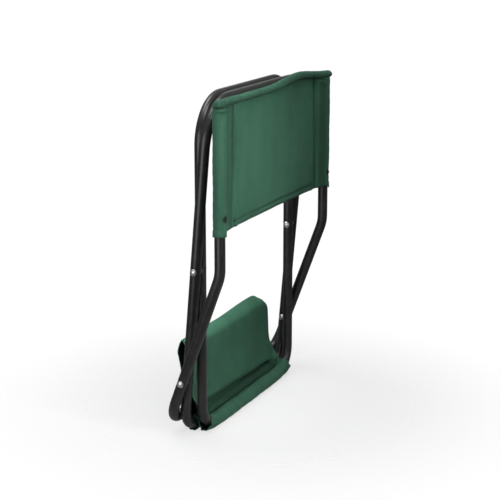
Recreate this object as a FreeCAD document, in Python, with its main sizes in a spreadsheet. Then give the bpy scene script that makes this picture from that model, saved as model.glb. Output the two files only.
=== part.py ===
import FreeCAD, Part
import math
import os
import Sketcher

# Folding camp chair of round steel tube with a cloth seat and a cloth back, folded flat and standing
# on its two seat bars. +X is across the chair, -Y is the side of the back cloth, +Z is up. The origin
# lies on the ground, midway between the sides and midway between the frontmost and rearmost points.
#
# Outer leg frame: closed hoop, floor bar on top, seat bar at the bottom, carries both pivots.
# Inner leg frame: closed hoop inside the outer one, turns on the leg pivot.
# Back frame:      U of tube outside the outer legs, turns on the back pivot, its crossbar is the stop.

DIMENSIONS = [
    ("tube_radius", 8.0, "outside radius of every tube"),
    ("tube_wall", 1.0, "tube wall thickness"),
    ("back_half", 198.0, "middle plane to the centre of a back upright"),
    ("frame_pitch", 17.3, "sideways step from one frame's tube to the next one"),
    ("floor_reach", 249.8, "leg pivot to the centre of a floor bar"),
    ("seat_reach", 249.5, "leg pivot to the centre of the inner seat bar"),
    ("floor_corner", 68.0, "centreline radius of the floor bar corners"),
    ("seat_corner", 38.0, "centreline radius of the seat bar corners"),
    ("leg_lean", 4.95, "lean of the outer leg frame when folded, degrees"),
    ("leg_pivot_setback", 6.0, "leg pivot behind the middle of the depth"),
    ("back_pivot_reach", 168.9, "leg pivot to back pivot, along the outer frame"),
    ("back_slope", 20.2, "lean of the lower part of the back frame, degrees"),
    ("slope_run", 181.5, "back pivot to the bend of the back frame"),
    ("stop_reach", 70.0, "back pivot to the centre of the back frame's crossbar"),
    ("upright_run", 245.0, "bend of the back frame to the top end of an upright"),
    ("back_bend", 60.0, "centreline radius of the bend in the back frame"),
    ("stop_corner", 36.0, "centreline radius of the crossbar corners"),
    ("bolt_radius", 3.0, "shank radius of a pivot bolt"),
    ("pivot_play", 0.05, "radial play of a pivot bolt in its holes"),
    ("head_radius", 5.4, "radius of a pivot bolt's domed head"),
    ("head_rise", 2.6, "height of a pivot bolt's domed head"),
    ("cap_radius", 5.2, "radius of the domed cap on a bolt's inner end"),
    ("seat_gap", 0.05, "gap under a head, cap or washer that does not turn"),
    ("turning_gap", 0.3, "gap under a head or cap against a turning tube"),
    ("washer_radius", 6.4, "outside radius of a pivot washer"),
    ("washer_thick", 0.9, "thickness of a pivot washer"),
    ("cloth_clearance", 0.1, "gap between a tube and the sleeve around it"),
    ("back_cloth", 1.3, "wall of a back sleeve"),
    ("sleeve_start", 59.0, "bend of the back frame to the lower end of a back sleeve"),
    ("sleeve_run", 187.0, "length of a back sleeve"),
    ("panel_start", 64.0, "bend of the back frame to the lower edge of the back panel"),
    ("panel_thick", 1.6, "thickness of the back panel"),
    ("hem_height", 250.5, "bend of the back frame to the centre of the rolled top hem"),
    ("hem_radius", 4.4, "radius of the rolled top hem"),
    ("hem_overhang", 8.0, "rolled top hem beyond an upright's centre"),
    ("screw_height", 85.0, "bend of the back frame to the cloth screws"),
    ("screw_radius", 1.5, "shank radius of a cloth screw"),
    ("screw_head", 3.3, "head radius of a cloth screw"),
    ("screw_head_rise", 1.5, "head height of a cloth screw"),
    ("screw_depth", 5.0, "screw shank below its head"),
    ("seat_cloth", 1.9, "wall of a seat sleeve"),
    ("seat_sleeve_half", 124.0, "half length of a seat sleeve"),
    ("seat_rear_run", 131.1, "outer seat bar to the crease of the folded seat"),
    ("seat_front_run", 136.1, "inner seat bar to the crease of the folded seat"),
    ("seat_panel_half", 140.0, "half width of the seat cloth"),
    ("seat_panel_thick", 1.6, "thickness of the seat cloth"),
    ("seat_panel_start", 17.0, "seat bar to the free part of the seat cloth"),
    ("crease_allowance", 16.0, "crease to the edge of either half of the folded seat"),
]

doc = FreeCAD.newDocument("FoldingChair")
sheet = doc.addObject("Spreadsheet::Sheet", "Dimensions")
for row, (alias, value, meaning) in enumerate(DIMENSIONS, start=1):
    sheet.set(f"A{row}", meaning)
    sheet.set(f"B{row}", str(value))
    sheet.setAlias(f"B{row}", alias)
doc.recompute()

AXIS_X = FreeCAD.Vector(1, 0, 0)
AXIS_Z = FreeCAD.Vector(0, 0, 1)
START, END = 1, 2
CENTRE = 3
ROOT_POINT = (-1, 1)
X_AXIS, Y_AXIS = -1, -2
OUTER_HALF = "Dimensions.back_half - Dimensions.frame_pitch"
INNER_HALF = "Dimensions.back_half - 2 * Dimensions.frame_pitch"
SLEEVE_INSIDE = "Dimensions.tube_radius + Dimensions.cloth_clearance"


def dim(alias):
    """A driving dimension's value."""
    return float(sheet.get(alias))


def in_depth(angle, length):
    """Step of a length in the YZ plane, its angle measured from +Z towards -Y, in degrees."""
    turn = math.radians(angle)
    return FreeCAD.Vector(0, -length * math.sin(turn), length * math.cos(turn))


def meeting_point(low_rear, rear_run, low_front, front_run):
    """Upper corner of a triangle in the YZ plane that stands on the two seat bars."""
    base = low_rear - low_front
    along = (front_run**2 - rear_run**2 + base.Length**2) / (2 * base.Length)
    unit = base / base.Length
    rise = math.sqrt(front_run**2 - along**2)
    return low_front + unit * along + FreeCAD.Vector(0, -unit.z, unit.y) * rise


def angle_of(step):
    """Angle of a step in the YZ plane, from +Z towards -Y, in degrees."""
    return math.degrees(math.atan2(-step.y, step.z))


tube_radius = dim("tube_radius")
outer_half = dim("back_half") - dim("frame_pitch")
inner_half = dim("back_half") - 2 * dim("frame_pitch")
sleeve_inside = tube_radius + dim("cloth_clearance")
seat_sleeve_radius = sleeve_inside + dim("seat_cloth")
leg_pivot = FreeCAD.Vector(0, dim("leg_pivot_setback"), dim("seat_reach") + seat_sleeve_radius)
outer_seat_reach = dim("seat_reach") / math.cos(math.radians(dim("leg_lean")))
back_pivot = leg_pivot - in_depth(dim("leg_lean"), dim("back_pivot_reach"))
back_bend_point = back_pivot + in_depth(dim("back_slope"), dim("slope_run"))
outer_seat_bar = leg_pivot - in_depth(dim("leg_lean"), outer_seat_reach)
inner_seat_bar = leg_pivot - in_depth(0, dim("seat_reach"))
crease = meeting_point(outer_seat_bar, dim("seat_rear_run"), inner_seat_bar, dim("seat_front_run"))


def placed(point, lean=0.0):
    """Placement at a point of the chair, leaning from +Z towards -Y."""
    return FreeCAD.Placement(point, FreeCAD.Rotation(AXIS_X, lean))


def new_body(label, placement):
    body = doc.addObject("PartDesign::Body", label)
    body.Label = label
    body.AllowCompound = True
    body.Placement = placement
    return body


def origin_plane(body, role):
    return next(item for item in body.Origin.OriginFeatures if item.Role == role)


def new_sketch(body, name, role, offset=None):
    """Sketch on one of the body's own origin planes, moved along its normal by an expression."""
    sketch = body.newObject("Sketcher::SketchObject", name)
    sketch.AttachmentSupport = (origin_plane(body, role), [""])
    sketch.MapMode = "FlatFace"
    if offset:
        sketch.setExpression("AttachmentOffset.Base.z", offset)
    return sketch


def constrain(sketch, kind, *where, size=None, bound=None):
    """Add a constraint; a dimension is bound to its expression in the sheet."""
    arguments = list(where) if size is None else list(where) + [size]
    index = sketch.addConstraint(Sketcher.Constraint(kind, *arguments))
    if bound:
        sketch.setExpression(f"Constraints[{index}]", bound)


def add_ring(sketch, across, up, across_bound, up_bound):
    """Tube section: outer and inner circle about one point of the sketch."""
    centre = FreeCAD.Vector(across, up, 0)
    outer = sketch.addGeometry(Part.Circle(centre, AXIS_Z, tube_radius))
    inner = sketch.addGeometry(Part.Circle(centre, AXIS_Z, tube_radius - dim("tube_wall")))
    constrain(sketch, "Coincident", outer, CENTRE, inner, CENTRE)
    constrain(sketch, "Radius", outer, size=tube_radius, bound="Dimensions.tube_radius")
    inner_bound = "Dimensions.tube_radius - Dimensions.tube_wall"
    constrain(sketch, "Radius", inner, size=tube_radius - dim("tube_wall"), bound=inner_bound)
    place_point(sketch, outer, CENTRE, across, up, across_bound, up_bound)


def place_point(sketch, geometry, point, across, up, across_bound, up_bound):
    """Fix a point at its two distances from the sketch's axes; no expression puts it on the axis."""
    if across_bound:
        constrain(sketch, "DistanceX", *ROOT_POINT, geometry, point, size=across, bound=across_bound)
    else:
        constrain(sketch, "PointOnObject", geometry, point, Y_AXIS)
    if up_bound:
        constrain(sketch, "DistanceY", *ROOT_POINT, geometry, point, size=up, bound=up_bound)
    else:
        constrain(sketch, "PointOnObject", geometry, point, X_AXIS)


def tube_along(body, name, profile, path):
    pipe = body.newObject("PartDesign::AdditivePipe", name)
    pipe.Profile = profile
    pipe.Spine = (path, [])
    return pipe


def mirrored_across(body, originals):
    """Mirror features to the other side of the chair and make the result the body's tip."""
    mirror = body.newObject("PartDesign::Mirrored", "OtherSide")
    mirror.Originals = originals
    mirror.MirrorPlane = (origin_plane(body, "YZ_Plane"), [""])
    body.Tip = mirror
    return mirror


def cut_through(body, name, centres, bounds, radius, radius_bound):
    """Round holes across the whole chair, centred on the body's YZ plane."""
    sketch = new_sketch(body, name + "Sketch", "YZ_Plane")
    for up, bound in zip(centres, bounds):
        hole = sketch.addGeometry(Part.Circle(FreeCAD.Vector(0, up, 0), AXIS_Z, radius))
        constrain(sketch, "Radius", hole, size=radius, bound=radius_bound)
        place_point(sketch, hole, CENTRE, 0, up, None, bound)
    doc.recompute()
    before = body.Shape.Volume
    pocket = body.newObject("PartDesign::Pocket", name)
    pocket.Profile = sketch
    pocket.Type = "ThroughAll"
    pocket.SideType = "Symmetric"
    body.Tip = pocket
    doc.recompute()
    if not body.Shape.Volume < before:
        raise RuntimeError(f"{body.Label}: {name} removed nothing")


def hoop_path(body, half, half_bound, low, low_bound):
    """Left half of a leg hoop: floor bar, rounded corner, leg, rounded corner, seat bar."""
    top, round_top, round_low = dim("floor_reach"), dim("floor_corner"), dim("seat_corner")
    sketch = new_sketch(body, "Centreline", "XZ_Plane")
    vector = FreeCAD.Vector
    floor_bar = sketch.addGeometry(Part.LineSegment(vector(0, top, 0), vector(round_top - half, top, 0)))
    floor_arc = Part.Circle(vector(round_top - half, top - round_top, 0), AXIS_Z, round_top)
    upper = sketch.addGeometry(Part.ArcOfCircle(floor_arc, math.pi / 2, math.pi))
    leg = sketch.addGeometry(
        Part.LineSegment(vector(-half, top - round_top, 0), vector(-half, round_low - low, 0)))
    seat_arc = Part.Circle(vector(round_low - half, round_low - low, 0), AXIS_Z, round_low)
    lower = sketch.addGeometry(Part.ArcOfCircle(seat_arc, math.pi, 3 * math.pi / 2))
    seat_bar = sketch.addGeometry(Part.LineSegment(vector(round_low - half, -low, 0), vector(0, -low, 0)))
    constrain(sketch, "Tangent", floor_bar, END, upper, START)
    constrain(sketch, "Tangent", upper, END, leg, START)
    constrain(sketch, "Tangent", leg, END, lower, START)
    constrain(sketch, "Tangent", lower, END, seat_bar, START)
    constrain(sketch, "Horizontal", floor_bar)
    constrain(sketch, "Vertical", leg)
    constrain(sketch, "PointOnObject", seat_bar, END, Y_AXIS)
    constrain(sketch, "Radius", upper, size=round_top, bound="Dimensions.floor_corner")
    constrain(sketch, "Radius", lower, size=round_low, bound="Dimensions.seat_corner")
    constrain(sketch, "DistanceX", leg, START, *ROOT_POINT, size=half, bound=half_bound)
    constrain(sketch, "DistanceY", seat_bar, END, *ROOT_POINT, size=low, bound=low_bound)
    place_point(sketch, floor_bar, START, 0, top, None, "Dimensions.floor_reach")
    constrain(sketch, "Horizontal", seat_bar)
    return sketch


def leg_hoop(label, lean, half, half_bound, low, low_bound):
    """Closed hoop of tube about the leg pivot."""
    body = new_body(label, placed(leg_pivot, lean))
    path = hoop_path(body, half, half_bound, low, low_bound)
    profile = new_sketch(body, "Section", "YZ_Plane")
    add_ring(profile, 0, dim("floor_reach"), None, "Dimensions.floor_reach")
    mirrored_across(body, [tube_along(body, "LeftHalf", profile, path)])
    return body


def back_frame():
    """U of tube: crossbar and sloping sides in one plane, then a bend up to each upright."""
    body = new_body("back_frame_tube", placed(back_pivot, dim("back_slope")))
    half, low = dim("back_half"), dim("stop_reach")
    corner, bend = dim("stop_corner"), dim("back_bend")
    slope = math.radians(dim("back_slope"))
    joint = dim("slope_run") - bend * math.tan(slope / 2)
    joint_bound = "Dimensions.slope_run - Dimensions.back_bend * tan(Dimensions.back_slope * 0.5 deg)"
    vector = FreeCAD.Vector

    lower = new_sketch(body, "LowerCentreline", "XZ_Plane")
    side = lower.addGeometry(Part.LineSegment(vector(-half, joint, 0), vector(-half, corner - low, 0)))
    circle = Part.Circle(vector(corner - half, corner - low, 0), AXIS_Z, corner)
    arc = lower.addGeometry(Part.ArcOfCircle(circle, math.pi, 3 * math.pi / 2))
    crossbar = lower.addGeometry(Part.LineSegment(vector(corner - half, -low, 0), vector(0, -low, 0)))
    constrain(lower, "Tangent", side, END, arc, START)
    constrain(lower, "Tangent", arc, END, crossbar, START)
    constrain(lower, "Vertical", side)
    constrain(lower, "Horizontal", crossbar)
    constrain(lower, "PointOnObject", crossbar, END, Y_AXIS)
    constrain(lower, "Radius", arc, size=corner, bound="Dimensions.stop_corner")
    constrain(lower, "DistanceY", crossbar, END, *ROOT_POINT, size=low, bound="Dimensions.stop_reach")
    constrain(lower, "DistanceX", side, START, *ROOT_POINT, size=half, bound="Dimensions.back_half")
    constrain(lower, "DistanceY", *ROOT_POINT, side, START, size=joint, bound=joint_bound)

    upper = new_sketch(body, "UprightCentreline", "YZ_Plane", "-Dimensions.back_half")
    straight = dim("upright_run") - bend * math.tan(slope / 2)
    bend_circle = Part.Circle(vector(bend, joint, 0), AXIS_Z, bend)
    bend_arc = upper.addGeometry(Part.ArcOfCircle(bend_circle, math.pi - slope, math.pi))
    foot = vector(bend - bend * math.cos(slope), joint + bend * math.sin(slope), 0)
    top = foot + vector(math.sin(slope), math.cos(slope), 0) * straight
    upright = upper.addGeometry(Part.LineSegment(foot, top))
    constrain(upper, "Tangent", bend_arc, START, upright, START)
    constrain(upper, "Radius", bend_arc, size=bend, bound="Dimensions.back_bend")
    place_point(upper, bend_arc, END, 0, joint, None, joint_bound)
    constrain(upper, "DistanceY", *ROOT_POINT, bend_arc, CENTRE, size=joint, bound=joint_bound)
    turn_bound = "(90 - Dimensions.back_slope) * 1 deg"
    constrain(upper, "Angle", X_AXIS, upright, size=math.pi / 2 - slope, bound=turn_bound)
    run_bound = "Dimensions.upright_run - Dimensions.back_bend * tan(Dimensions.back_slope * 0.5 deg)"
    constrain(upper, "Distance", upright, size=straight, bound=run_bound)

    lower_section = new_sketch(body, "LowerSection", "XY_Plane", joint_bound)
    add_ring(lower_section, -half, 0, "-Dimensions.back_half", None)
    upper_section = new_sketch(body, "UprightSection", "XY_Plane", joint_bound)
    add_ring(upper_section, -half, 0, "-Dimensions.back_half", None)
    doc.recompute()
    u_half = tube_along(body, "LowerHalf", lower_section, lower)
    doc.recompute()
    upright_tube = tube_along(body, "Upright", upper_section, upper)
    doc.recompute()
    mirrored_across(body, [u_half, upright_tube])
    return body


def domed_turning(body, face, crown, head, bounds, tip=None, neck=None, offset=None):
    """Revolve a domed head about the sketch's own horizontal axis.

    The flat side of the head is at face and its crown at crown. A shank of radius neck, if there is
    one, runs from the flat side to tip.
    """
    side = 1 if crown > face else -1
    rise = abs(crown - face)
    dome = (head**2 + rise**2) / (2 * rise)
    sketch = new_sketch(body, "Outline", "XY_Plane")
    if offset:
        sketch.setExpression("AttachmentOffset.Base.y", offset)
    vector = FreeCAD.Vector

    low = neck if neck else 0
    flat = sketch.addGeometry(Part.LineSegment(vector(face, low, 0), vector(face, head, 0)))
    sphere = Part.Circle(vector(crown - side * dome, 0, 0), AXIS_Z, dome)
    reach = math.asin(head / dome)
    if side > 0:
        arc = sketch.addGeometry(Part.ArcOfCircle(sphere, 0, reach))
        rim, peak = END, START
    else:
        arc = sketch.addGeometry(Part.ArcOfCircle(sphere, math.pi - reach, math.pi))
        rim, peak = START, END
    foot = face if tip is None else tip
    axis = sketch.addGeometry(Part.LineSegment(vector(crown, 0, 0), vector(foot, 0, 0)))
    constrain(sketch, "Coincident", flat, END, arc, rim)
    constrain(sketch, "Coincident", arc, peak, axis, START)
    constrain(sketch, "Vertical", flat)
    constrain(sketch, "PointOnObject", axis, START, X_AXIS)
    constrain(sketch, "PointOnObject", axis, END, X_AXIS)
    constrain(sketch, "PointOnObject", arc, CENTRE, X_AXIS)
    constrain(sketch, "DistanceX", *ROOT_POINT, flat, START, size=face, bound=bounds["face"])
    constrain(sketch, "DistanceX", *ROOT_POINT, axis, START, size=crown, bound=bounds["crown"])
    constrain(sketch, "DistanceY", *ROOT_POINT, flat, END, size=head, bound=bounds["head"])

    if tip is None:
        constrain(sketch, "Coincident", axis, END, flat, START)
    else:
        end = sketch.addGeometry(Part.LineSegment(vector(tip, 0, 0), vector(tip, neck, 0)))
        shank = sketch.addGeometry(Part.LineSegment(vector(tip, neck, 0), vector(face, neck, 0)))
        constrain(sketch, "Coincident", axis, END, end, START)
        constrain(sketch, "Coincident", end, END, shank, START)
        constrain(sketch, "Coincident", shank, END, flat, START)
        constrain(sketch, "Vertical", end)
        constrain(sketch, "Horizontal", shank)
        constrain(sketch, "DistanceX", *ROOT_POINT, end, START, size=tip, bound=bounds["tip"])
        constrain(sketch, "DistanceY", *ROOT_POINT, end, END, size=neck, bound=bounds["neck"])
    doc.recompute()
    turning = body.newObject("PartDesign::Revolution", "Turning")
    turning.Profile = sketch
    turning.ReferenceAxis = (sketch, ["H_Axis"])
    turning.Angle = 360
    return turning


def ring_pad(body, role, centre, centre_bound, inside, inside_bound, wall, wall_bound, length, start=None):
    """Straight hollow piece: a ring on an origin plane, padded along the plane's normal."""
    sketch = new_sketch(body, "Ring", role, start)
    point = FreeCAD.Vector(centre, 0, 0)
    for radius, bound in ((inside, inside_bound), (inside + wall, f"{inside_bound} + {wall_bound}")):
        circle = sketch.addGeometry(Part.Circle(point, AXIS_Z, radius))
        constrain(sketch, "Radius", circle, size=radius, bound=bound)
        place_point(sketch, circle, CENTRE, centre, 0, centre_bound, None)
    doc.recompute()
    pad = body.newObject("PartDesign::Pad", "Wall")
    pad.Profile = sketch
    pad.setExpression("Length", length)
    return pad


def pivot_hardware(name, pivot, head_face, cap_face, washer_start):
    """Bolt, washer and cap that hold one tube outside another, on both sides of the chair.

    Each place is a pair: its distance across the chair on the left side, and the same as an
    expression. The head's flat side is at head_face and the cap's at cap_face.
    """
    placement = placed(pivot, dim("leg_lean"))
    bolts = new_body(f"{name}_bolts", placement)
    bolt_bounds = {
        "face": head_face[1], "crown": f"{head_face[1]} - Dimensions.head_rise", "tip": cap_face[1],
        "head": "Dimensions.head_radius", "neck": "Dimensions.bolt_radius"}
    turning = domed_turning(bolts, head_face[0], head_face[0] - dim("head_rise"), dim("head_radius"),
                            bolt_bounds, tip=cap_face[0], neck=dim("bolt_radius"))
    doc.recompute()
    mirrored_across(bolts, [turning])

    caps = new_body(f"{name}_caps", placement)
    cap_bounds = {
        "face": cap_face[1], "crown": f"{cap_face[1]} + Dimensions.head_rise",
        "head": "Dimensions.cap_radius"}
    turning = domed_turning(caps, cap_face[0], cap_face[0] + dim("head_rise"), dim("cap_radius"), cap_bounds)
    doc.recompute()
    mirrored_across(caps, [turning])

    washers = new_body(f"{name}_washers", placement)
    bore = dim("bolt_radius") + dim("pivot_play")
    bore_bound = "Dimensions.bolt_radius + Dimensions.pivot_play"
    wall_bound = "Dimensions.washer_radius - Dimensions.bolt_radius - Dimensions.pivot_play"
    pad = ring_pad(washers, "YZ_Plane", 0, None, bore, bore_bound, dim("washer_radius") - bore, wall_bound,
                   "Dimensions.washer_thick", washer_start)
    doc.recompute()
    mirrored_across(washers, [pad])


def leg_pivot_hardware():
    """The outer hoop holds the bolt, and the inner hoop turns on it."""
    tube = "Dimensions.tube_radius"
    head_face = (-(outer_half + tube_radius + dim("seat_gap")),
                 f"-({OUTER_HALF} + {tube} + Dimensions.seat_gap)")
    cap_face = (-(inner_half - tube_radius - dim("turning_gap")),
                f"-({INNER_HALF} - {tube} - Dimensions.turning_gap)")
    washer_start = f"-({INNER_HALF} + {tube} + Dimensions.turning_gap + Dimensions.washer_thick)"
    pivot_hardware("leg_pivot", leg_pivot, head_face, cap_face, washer_start)


def back_pivot_hardware():
    """The outer hoop holds the bolt, and the back frame turns on it."""
    tube = "Dimensions.tube_radius"
    head_face = (-(dim("back_half") + tube_radius + dim("turning_gap")),
                 f"-(Dimensions.back_half + {tube} + Dimensions.turning_gap)")
    cap_face = (-(outer_half - tube_radius - dim("seat_gap")),
                f"-({OUTER_HALF} - {tube} - Dimensions.seat_gap)")
    washer_start = f"-({OUTER_HALF} + {tube} + Dimensions.seat_gap + Dimensions.washer_thick)"
    pivot_hardware("back_pivot", back_pivot, head_face, cap_face, washer_start)


def back_cover():
    """Cloth of the back: a sleeve on each upright, the panel between them and the rolled top hem."""
    for label, side in (("back_sleeve_left", -1), ("back_sleeve_right", 1)):
        body = new_body(label, placed(back_bend_point))
        centre = side * dim("back_half")
        ring_pad(body, "XY_Plane", centre, f"{side} * Dimensions.back_half", sleeve_inside, SLEEVE_INSIDE,
                 dim("back_cloth"), "Dimensions.back_cloth", "Dimensions.sleeve_run",
                 "Dimensions.sleeve_start")

    panel = doc.addObject("Part::Box", "back_panel")
    panel.Label = "back_panel"
    edge = "Dimensions.back_half - Dimensions.tube_radius - Dimensions.cloth_clearance"
    panel.setExpression("Length", f"2 * ({edge} - Dimensions.back_cloth - Dimensions.cloth_clearance)")
    panel.setExpression("Width", "Dimensions.panel_thick")
    panel_top = "Dimensions.hem_height - Dimensions.hem_radius - Dimensions.cloth_clearance"
    panel.setExpression("Height", f"{panel_top} - Dimensions.panel_start")
    half_width = dim("back_half") - sleeve_inside - dim("back_cloth") - dim("cloth_clearance")
    corner = FreeCAD.Vector(-half_width, -dim("panel_thick") / 2, dim("panel_start"))
    panel.Placement = placed(back_bend_point + corner)

    hem = doc.addObject("Part::Cylinder", "back_hem")
    hem.Label = "back_hem"
    hem.setExpression("Radius", "Dimensions.hem_radius")
    hem.setExpression("Height", "2 * (Dimensions.back_half + Dimensions.hem_overhang)")
    end = FreeCAD.Vector(-dim("back_half") - dim("hem_overhang"), 0, dim("hem_height"))
    across = FreeCAD.Rotation(AXIS_Z, AXIS_X)
    hem.Placement = FreeCAD.Placement(back_bend_point + end, across)


def cloth_screws():
    """Two screws that fix the back sleeves to the front of the uprights."""
    height = FreeCAD.Vector(0, 0, dim("screw_height"))
    turned = FreeCAD.Rotation(AXIS_Z, 90)
    body = new_body("back_screws", FreeCAD.Placement(back_bend_point + height, turned))
    face = -(sleeve_inside + dim("back_cloth"))
    face_bound = f"-({SLEEVE_INSIDE} + Dimensions.back_cloth)"
    bounds = {
        "face": face_bound, "crown": f"{face_bound} - Dimensions.screw_head_rise",
        "tip": f"{face_bound} + Dimensions.screw_depth",
        "neck": "Dimensions.screw_radius", "head": "Dimensions.screw_head"}
    turning = domed_turning(body, face, face - dim("screw_head_rise"), dim("screw_head"), bounds,
                            tip=face + dim("screw_depth"), neck=dim("screw_radius"),
                            offset="Dimensions.back_half")
    doc.recompute()
    mirror = body.newObject("PartDesign::Mirrored", "OtherSide")
    mirror.Originals = [turning]
    mirror.MirrorPlane = (origin_plane(body, "XZ_Plane"), [""])
    body.Tip = mirror


def seat_sleeve(label, bar):
    """Cloth sleeve around the straight part of a seat bar; the folded chair stands on it."""
    body = new_body(label, placed(bar))
    length = "2 * Dimensions.seat_sleeve_half"
    start = "-Dimensions.seat_sleeve_half"
    ring_pad(body, "YZ_Plane", 0, None, sleeve_inside, SLEEVE_INSIDE,
             dim("seat_cloth"), "Dimensions.seat_cloth", length, start)


def seat_panel(label, bar, run_alias):
    """Half of the folded seat cloth, from just above its bar to just below the crease."""
    panel = doc.addObject("Part::Box", label)
    panel.Label = label
    panel.setExpression("Length", "2 * Dimensions.seat_panel_half")
    panel.setExpression("Width", "Dimensions.seat_panel_thick")
    panel.setExpression(
        "Height", f"Dimensions.{run_alias} - Dimensions.seat_panel_start - Dimensions.crease_allowance")
    placement = placed(bar, angle_of(crease - bar))
    half_thick = dim("seat_panel_thick") / 2
    corner = FreeCAD.Vector(-dim("seat_panel_half"), -half_thick, dim("seat_panel_start"))
    panel.Placement = placement.multiply(FreeCAD.Placement(corner, FreeCAD.Rotation()))


def leg_frames_and_back():
    """The three tube frames, each drilled for its pivots."""
    hole_radius = dim("bolt_radius") + dim("pivot_play")
    hole_bound = "Dimensions.bolt_radius + Dimensions.pivot_play"
    outer = leg_hoop("outer_leg_frame", dim("leg_lean"), outer_half, OUTER_HALF, outer_seat_reach,
                     "Dimensions.seat_reach / cos(Dimensions.leg_lean * 1 deg)")
    cut_through(outer, "PivotHoles", [0, -dim("back_pivot_reach")], [None, "-Dimensions.back_pivot_reach"],
                hole_radius, hole_bound)
    inner = leg_hoop("inner_leg_frame", 0.0, inner_half, INNER_HALF, dim("seat_reach"),
                     "Dimensions.seat_reach")
    cut_through(inner, "PivotHoles", [0], [None], hole_radius, hole_bound)
    cut_through(back_frame(), "PivotHoles", [0], [None], hole_radius, hole_bound)


def write_parts():
    """Check every object, then write one STEP file for each sub-part."""
    for item in doc.Objects:
        if "Invalid" in item.State or "Error" in item.State:
            raise RuntimeError(f"{item.Label}: {item.getStatusString()}")
    kinds = ("PartDesign::Body", "Part::Box", "Part::Cylinder")
    pieces = [item for item in doc.Objects if item.TypeId in kinds]
    for piece in pieces:
        if piece.Shape.isNull() or not piece.Shape.isValid():
            raise RuntimeError(f"{piece.Label} has no valid shape")
    os.makedirs("parts", exist_ok=True)
    for piece in pieces:
        piece.Shape.exportStep(f"parts/{piece.Label}.step")
        print(f"{piece.Label}: {len(piece.Shape.Solids)} solids, {piece.Shape.Volume:.0f} mm3")


leg_frames_and_back()
leg_pivot_hardware()
back_pivot_hardware()
back_cover()
cloth_screws()
seat_sleeve("seat_sleeve_rear", outer_seat_bar)
seat_sleeve("seat_sleeve_front", inner_seat_bar)
seat_panel("seat_panel_rear", outer_seat_bar, "seat_rear_run")
seat_panel("seat_panel_front", inner_seat_bar, "seat_front_run")
doc.recompute()
write_parts()
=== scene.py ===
import math

import bpy
import numpy as np
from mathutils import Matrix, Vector


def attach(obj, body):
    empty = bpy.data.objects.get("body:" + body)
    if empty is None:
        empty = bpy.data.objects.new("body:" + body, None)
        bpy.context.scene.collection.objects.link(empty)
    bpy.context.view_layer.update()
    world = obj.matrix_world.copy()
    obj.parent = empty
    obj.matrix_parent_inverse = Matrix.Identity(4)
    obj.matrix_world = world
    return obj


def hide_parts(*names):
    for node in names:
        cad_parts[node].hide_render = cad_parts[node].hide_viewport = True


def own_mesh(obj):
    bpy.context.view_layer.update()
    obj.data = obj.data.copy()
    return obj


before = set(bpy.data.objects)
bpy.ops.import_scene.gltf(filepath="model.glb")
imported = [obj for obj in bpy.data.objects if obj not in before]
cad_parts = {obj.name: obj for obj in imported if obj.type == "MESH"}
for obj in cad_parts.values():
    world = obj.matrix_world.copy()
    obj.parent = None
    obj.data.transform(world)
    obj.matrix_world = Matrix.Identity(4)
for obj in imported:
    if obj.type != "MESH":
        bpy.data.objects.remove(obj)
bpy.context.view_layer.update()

# The frame's own places, in metres, as part.py has them.
TUBE = 0.008
UPRIGHT_X, UPRIGHT_Y = 0.198, -0.0421
SLEEVE_LOW, PANEL_LOW, PANEL_TOP = 0.3206, 0.3250, 0.5078
SCREW_Z = 0.3465
INNER_BAR, OUTER_BAR = np.array([0.006, 0.010]), np.array([0.02761, 0.010])
INNER_HALF, OUTER_HALF, SEAT_CORNER = 0.1634, 0.1807, 0.038
OUTER_LEAN = math.radians(4.95)
CREASE = np.array([0.04772, 0.13955])

# Places in the cloth of the back.
CLOTH = 0.0009
CLEAR = 0.0001
SEAM_X, SEAM_STEP = 0.1600, 0.1440
STITCH_X = (0.1515, 0.1650)
# the channel that the stitching draws in beside each sleeve, and the ridge along its inner side
CHANNEL_X, CHANNEL_WIDTH, CHANNEL_DEPTH = 0.1570, 0.0075, 0.0030
RIDGE_X, RIDGE_WIDTH, RIDGE_RISE = 0.1440, 0.0045, 0.0015
HEM_SEAM = 0.0086
ROLL_Z, ROLL_HALF, ROLL_FOOT, ROLL_GIRTH = 0.5117, 0.2110, 0.0062, 0.0058
# the top edge bows up and back round LIFT_X
LIFT_X, LIFT_WIDTH, LIFT, LIFT_BACK = 0.088, 0.062, 0.0060, 0.0040
# the left sleeve's flap: how far out, and how high its lower edge is there
FLAP_EDGE = (0.163, 0.190), (0.5046, 0.5000)
# how much the lower edge sags at the left and right sleeves, and its rise at the left one
SAG_LEFT, SAG_RIGHT, RISE_LEFT = 0.0010, 0.0008, 0.0046

# Places in the cloth of the seat.
SEAT_HALF, SEAT_HEM = 0.1475, 0.1380
SEAT_CLOTH = 0.0010
SLEEVE_REACH = 0.1515
# the strip inside the fold: its left end, and its lower and upper edges from the crease
GUSSET_FROM, GUSSET_EDGES = 0.1080, (-0.0540, -0.0158)
RIDGE_LIFT, CORNER_DROOP = 0.0040, 0.0142


# ---------------------------------------------------------------- curves and surfaces

def smooth(x, low, high):
    """0 below low, 1 above high, and a soft step between."""
    t = np.clip((x - low) / (high - low), 0.0, 1.0)
    return t * t * (3.0 - 2.0 * t)


def bump(x, centre, width):
    """1 at centre, fading to nothing a few widths away."""
    return np.exp(-(((x - centre) / width) ** 2))


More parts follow.
